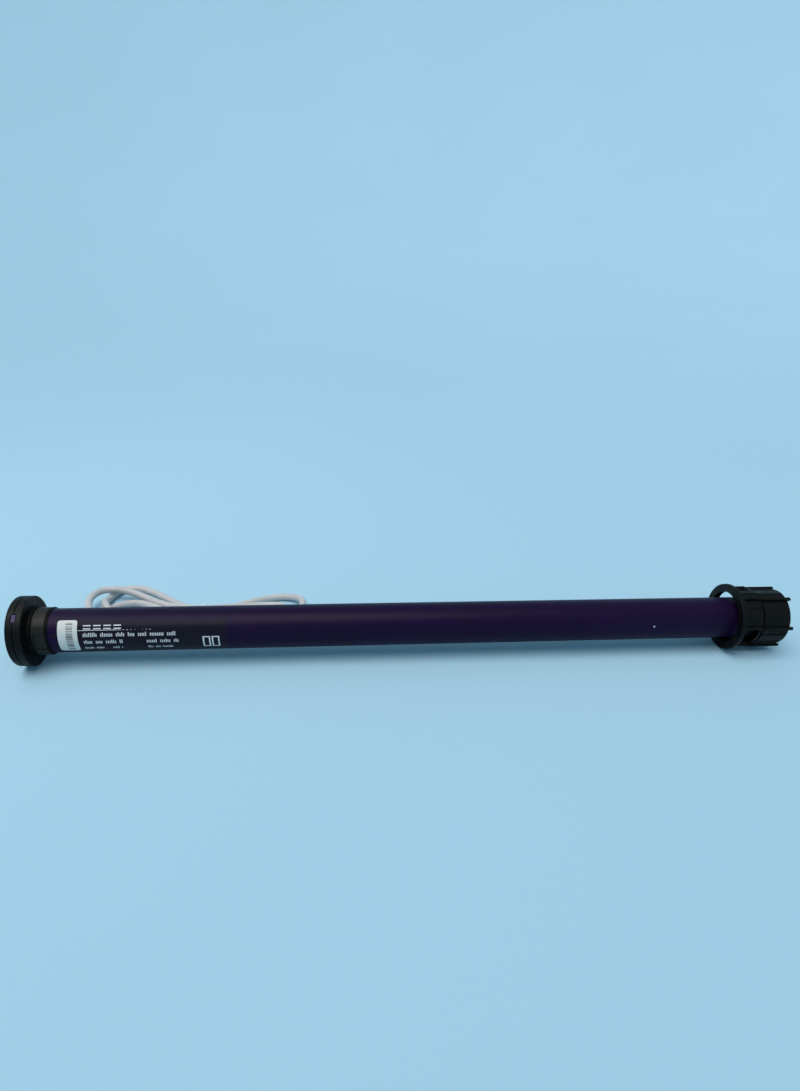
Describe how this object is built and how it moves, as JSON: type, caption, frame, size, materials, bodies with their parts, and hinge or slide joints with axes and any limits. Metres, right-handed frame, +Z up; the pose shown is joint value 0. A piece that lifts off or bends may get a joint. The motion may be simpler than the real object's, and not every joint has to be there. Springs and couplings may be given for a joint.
{
  "type": "roller shutter motor",
  "caption": "Slim tubular motor with a round fixing head, a free idler crown, a finned drive wheel, a loose crown adapter and a hank of thin cable.",
  "frame": {"origin": "centre of the bounding box without the cable, at the surface that the motor lies on", "axes": "+X along the motor from the fixing head to the drive wheel, +Z up, -Y towards the printed side"},
  "size_m": [0.4514, 0.1023, 0.0406],
  "materials": {
    "purple_lacquer": "satin dark purple lacquer",
    "black_nylon": "fine moulded texture, glass-filled",
    "crown_nylon": "moulded, slightly worn",
    "purple_plastic": "moulded",
    "black_screw": "black oxide steel",
    "bright_steel": "zinc plated",
    "label_paper": "matt white label film",
    "panel_ink": "dark print, satin",
    "seal_rubber": "moulded",
    "tray_plastic": "moulded",
    "board_green": "solder mask",
    "capacitor_sleeve": "shrink sleeve",
    "chip_black": "moulded",
    "zinc_steel": "zinc plated",
    "ferrite": "sintered ferrite",
    "bronze": "sintered",
    "gear_steel": "machined, greased",
    "gear_acetal": "moulded acetal",
    "cable_pvc": "satin pale grey PVC",
    "tie_nylon": "nylon strap",
    "core_pvc": "PVC insulated cores",
    "ferrule_tin": "tinned copper"
  },
  "bodies": {
    "motor": {"motor_tube": "purple_lacquer", "head_body": "black_nylon", "head_cover": "black_nylon", "head_cover_screws": "black_screw", "cable_gland": "black_nylon", "seal_ring": "seal_rubber", "thrust_ring": "black_nylon", "fixing_screws": "black_screw", "serial_label": "label_paper", "rating_panel": "panel_ink", "tube_pins": "bright_steel", "board_tray": "tray_plastic", "control_board": "board_green", "smoothing_capacitor": "capacitor_sleeve", "power_choke": "chip_black", "driver_chips": "chip_black", "lead_connector": "tray_plastic", "motor_can": "zinc_steel", "motor_magnets": "ferrite", "motor_end_cap": "tray_plastic", "carbon_brushes": "chip_black", "motor_bushes": "bronze", "hall_board": "board_green", "motor_damper": "seal_rubber", "motor_screws": "bright_steel", "ring_gear": "gear_steel", "gearbox_rear_plate": "zinc_steel", "gearbox_front_cap": "black_nylon", "output_bushes": "bronze", "cable_lead": "cable_pvc", "cable_hank": "cable_pvc", "cable_tail": "cable_pvc", "cable_tie": "tie_nylon", "cable_cores": "core_pvc", "core_ferrules": "ferrule_tin"},
    "output": {"output_shaft": "gear_steel", "drive_wheel": "black_nylon", "wheel_washer": "bright_steel", "wheel_screw": "bright_steel"},
    "idler_crown": {"idler_crown": "crown_nylon"},
    "crown_adapter": {"crown_adapter": "black_nylon"},
    "setting_button": {"setting_button": "purple_plastic"},
    "carrier_2": {"carrier_2": "gear_steel"},
    "carrier_1": {"carrier_1": "gear_steel"},
    "rotor": {"rotor_shaft": "gear_steel", "rotor_core": "gear_steel", "commutator": "bronze", "encoder_magnet": "ferrite", "sun_gear_1": "gear_steel"},
    "planet_1a": {"planet_1a": "gear_acetal"},
    "planet_1b": {"planet_1b": "gear_acetal"},
    "planet_1c": {"planet_1c": "gear_acetal"},
    "planet_2a": {"planet_2a": "gear_steel"},
    "planet_2b": {"planet_2b": "gear_steel"},
    "planet_2c": {"planet_2c": "gear_steel"},
    "planet_3a": {"planet_3a": "gear_steel"},
    "planet_3b": {"planet_3b": "gear_steel"},
    "planet_3c": {"planet_3c": "gear_steel"}
  },
  "joints": [
    {"name": "output_turn", "type": "hinge", "parent": "motor", "child": "output", "pos_m": [0.21525, 0, 0.01975], "axis": [1, 0, 0], "continuous": true},
    {"name": "crown_turn", "type": "hinge", "parent": "motor", "child": "idler_crown", "pos_m": [-0.21125, 0, 0.01975], "axis": [1, 0, 0], "continuous": true},
    {"name": "adapter_slide", "type": "slide", "parent": "motor", "child": "crown_adapter", "axis": [1, 0, 0], "range_m": [-0.4055, 0]},
    {"name": "button_press", "type": "slide", "parent": "motor", "child": "setting_button", "axis": [0, 0.6157, -0.788], "range_m": [0, 0.0008], "stiffness_N_per_m": 400, "springref_m": -0.001},
    {"name": "carrier_2_turn", "type": "hinge", "parent": "motor", "child": "carrier_2", "pos_m": [0.14425, 0, 0.01975], "axis": [1, 0, 0], "continuous": true},
    {"name": "carrier_1_turn", "type": "hinge", "parent": "motor", "child": "carrier_1", "pos_m": [0.13225, 0, 0.01975], "axis": [1, 0, 0], "continuous": true},
    {"name": "rotor_turn", "type": "hinge", "parent": "motor", "child": "rotor", "pos_m": [0.07425, 0, 0.01975], "axis": [1, 0, 0], "continuous": true},
    {"name": "planet_1a_turn", "type": "hinge", "parent": "carrier_1", "child": "planet_1a", "pos_m": [0.12665, 0.0054, 0.01975], "axis": [1, 0, 0], "continuous": true},
    {"name": "planet_1b_turn", "type": "hinge", "parent": "carrier_1", "child": "planet_1b", "pos_m": [0.12665, -0.0027, 0.02443], "axis": [1, 0, 0], "continuous": true},
    {"name": "planet_1c_turn", "type": "hinge", "parent": "carrier_1", "child": "planet_1c", "pos_m": [0.12665, -0.0027, 0.01507], "axis": [1, 0, 0], "continuous": true},
    {"name": "planet_2a_turn", "type": "hinge", "parent": "carrier_2", "child": "planet_2a", "pos_m": [0.13705, 0.0054, 0.01975], "axis": [1, 0, 0], "continuous": true},
    {"name": "planet_2b_turn", "type": "hinge", "parent": "carrier_2", "child": "planet_2b", "pos_m": [0.13705, -0.0027, 0.02443], "axis": [1, 0, 0], "continuous": true},
    {"name": "planet_2c_turn", "type": "hinge", "parent": "carrier_2", "child": "planet_2c", "pos_m": [0.13705, -0.0027, 0.01507], "axis": [1, 0, 0], "continuous": true},
    {"name": "planet_3a_turn", "type": "hinge", "parent": "output", "child": "planet_3a", "pos_m": [0.15035, 0.0054, 0.01975], "axis": [1, 0, 0], "continuous": true},
    {"name": "planet_3b_turn", "type": "hinge", "parent": "output", "child": "planet_3b", "pos_m": [0.15035, -0.0027, 0.02443], "axis": [1, 0, 0], "continuous": true},
    {"name": "planet_3c_turn", "type": "hinge", "parent": "output", "child": "planet_3c", "pos_m": [0.15035, -0.0027, 0.01507], "axis": [1, 0, 0], "continuous": true}
  ],
  "couplings": [
    {"joint": "planet_3a_turn", "follows": "output_turn", "ratio": -2.8},
    {"joint": "planet_3b_turn", "follows": "output_turn", "ratio": -2.8},
    {"joint": "planet_3c_turn", "follows": "output_turn", "ratio": -2.8},
    {"joint": "carrier_2_turn", "follows": "output_turn", "ratio": 4.5},
    {"joint": "planet_2a_turn", "follows": "output_turn", "ratio": -12.6},
    {"joint": "planet_2b_turn", "follows": "output_turn", "ratio": -12.6},
    {"joint": "planet_2c_turn", "follows": "output_turn", "ratio": -12.6},
    {"joint": "carrier_1_turn", "follows": "output_turn", "ratio": 20.25},
    {"joint": "planet_1a_turn", "follows": "output_turn", "ratio": -56.7},
    {"joint": "planet_1b_turn", "follows": "output_turn", "ratio": -56.7},
    {"joint": "planet_1c_turn", "follows": "output_turn", "ratio": -56.7},
    {"joint": "rotor_turn", "follows": "output_turn", "ratio": 91.125}
  ]
}
